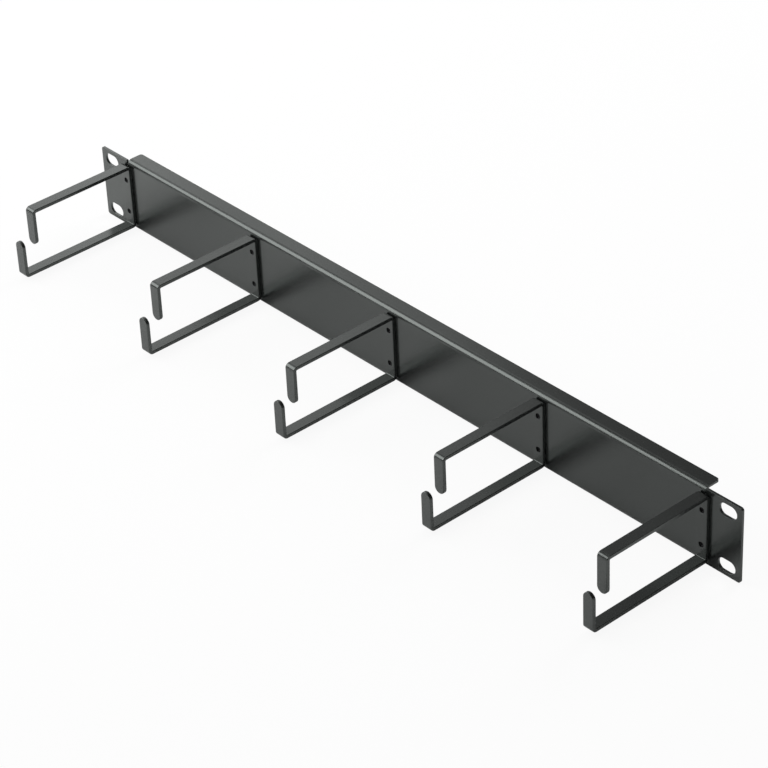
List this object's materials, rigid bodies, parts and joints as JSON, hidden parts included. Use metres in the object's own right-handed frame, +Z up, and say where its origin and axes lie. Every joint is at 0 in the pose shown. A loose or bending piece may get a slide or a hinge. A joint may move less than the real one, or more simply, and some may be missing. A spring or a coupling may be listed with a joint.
{
  "type": "rack cable management panel",
  "caption": "Low rack panel of folded black steel sheet with a row of open bent-strip rings on its front that hold cables, and slotted ears for the rack rails.",
  "frame": {"origin": "centre of the four rack slots on the panel's rear face, which seats on the rack's rails", "axes": "+X along the panel, to the right seen from the front; +Y to the rear, into the rack; +Z up. The cable rings stand out to -Y."},
  "size_m": [0.4826, 0.087, 0.044],
  "materials": {
    "panel_coat": "satin black powder coat with a fine grain",
    "ring_coat": "satin black powder coat with a fine grain",
    "screw_finish": "black plated steel"
  },
  "bodies": {
    "root": {"panel": "panel_coat", "ring_1": "ring_coat", "ring_2": "ring_coat", "ring_3": "ring_coat", "ring_4": "ring_coat", "ring_5": "ring_coat", "ring_1_screws": "screw_finish", "ring_2_screws": "screw_finish", "ring_3_screws": "screw_finish", "ring_4_screws": "screw_finish", "ring_5_screws": "screw_finish"}
  },
  "joints": []
}
